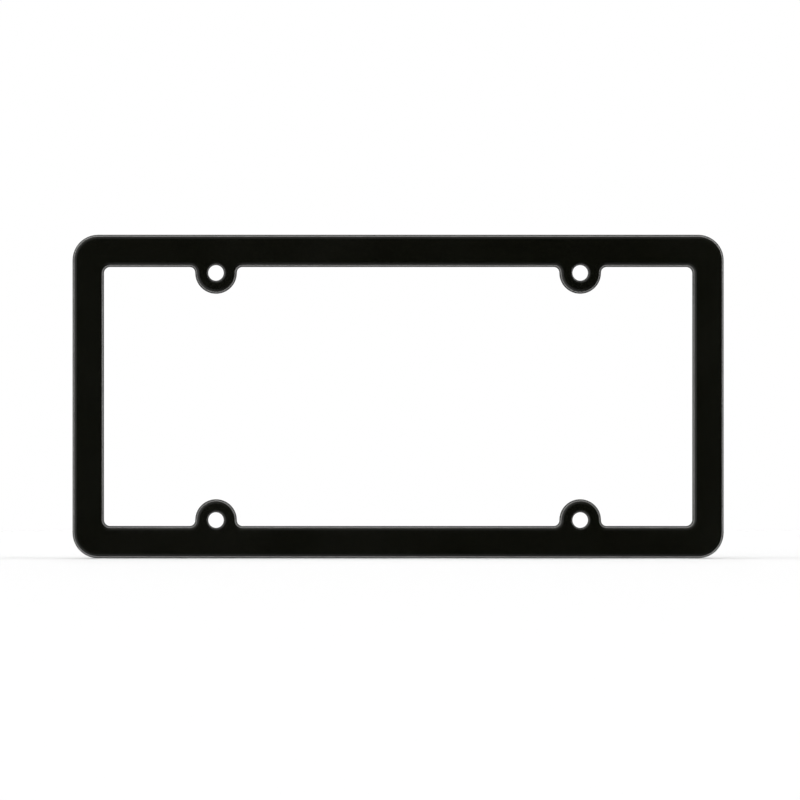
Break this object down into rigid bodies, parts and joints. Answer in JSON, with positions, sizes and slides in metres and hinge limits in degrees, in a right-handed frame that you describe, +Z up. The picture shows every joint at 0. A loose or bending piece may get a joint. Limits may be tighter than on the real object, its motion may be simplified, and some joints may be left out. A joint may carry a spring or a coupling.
{
  "type": "number plate frame",
  "caption": "One-piece cast number plate frame with a flat black face, rounded edges, an open window and lugs with plain screw holes.",
  "frame": {"origin": "centre of the rectangle of four screw holes, on the plane where the window lip seats on the plate", "axes": "+X along the long bars, to the right seen from the front; +Y out of the back, towards the plate and the car; +Z up, so the face looks towards -Y"},
  "size_m": [0.318, 0.007, 0.158],
  "materials": {
    "black_coat": "satin"
  },
  "bodies": {
    "root": {"frame": "black_coat"}
  },
  "joints": []
}
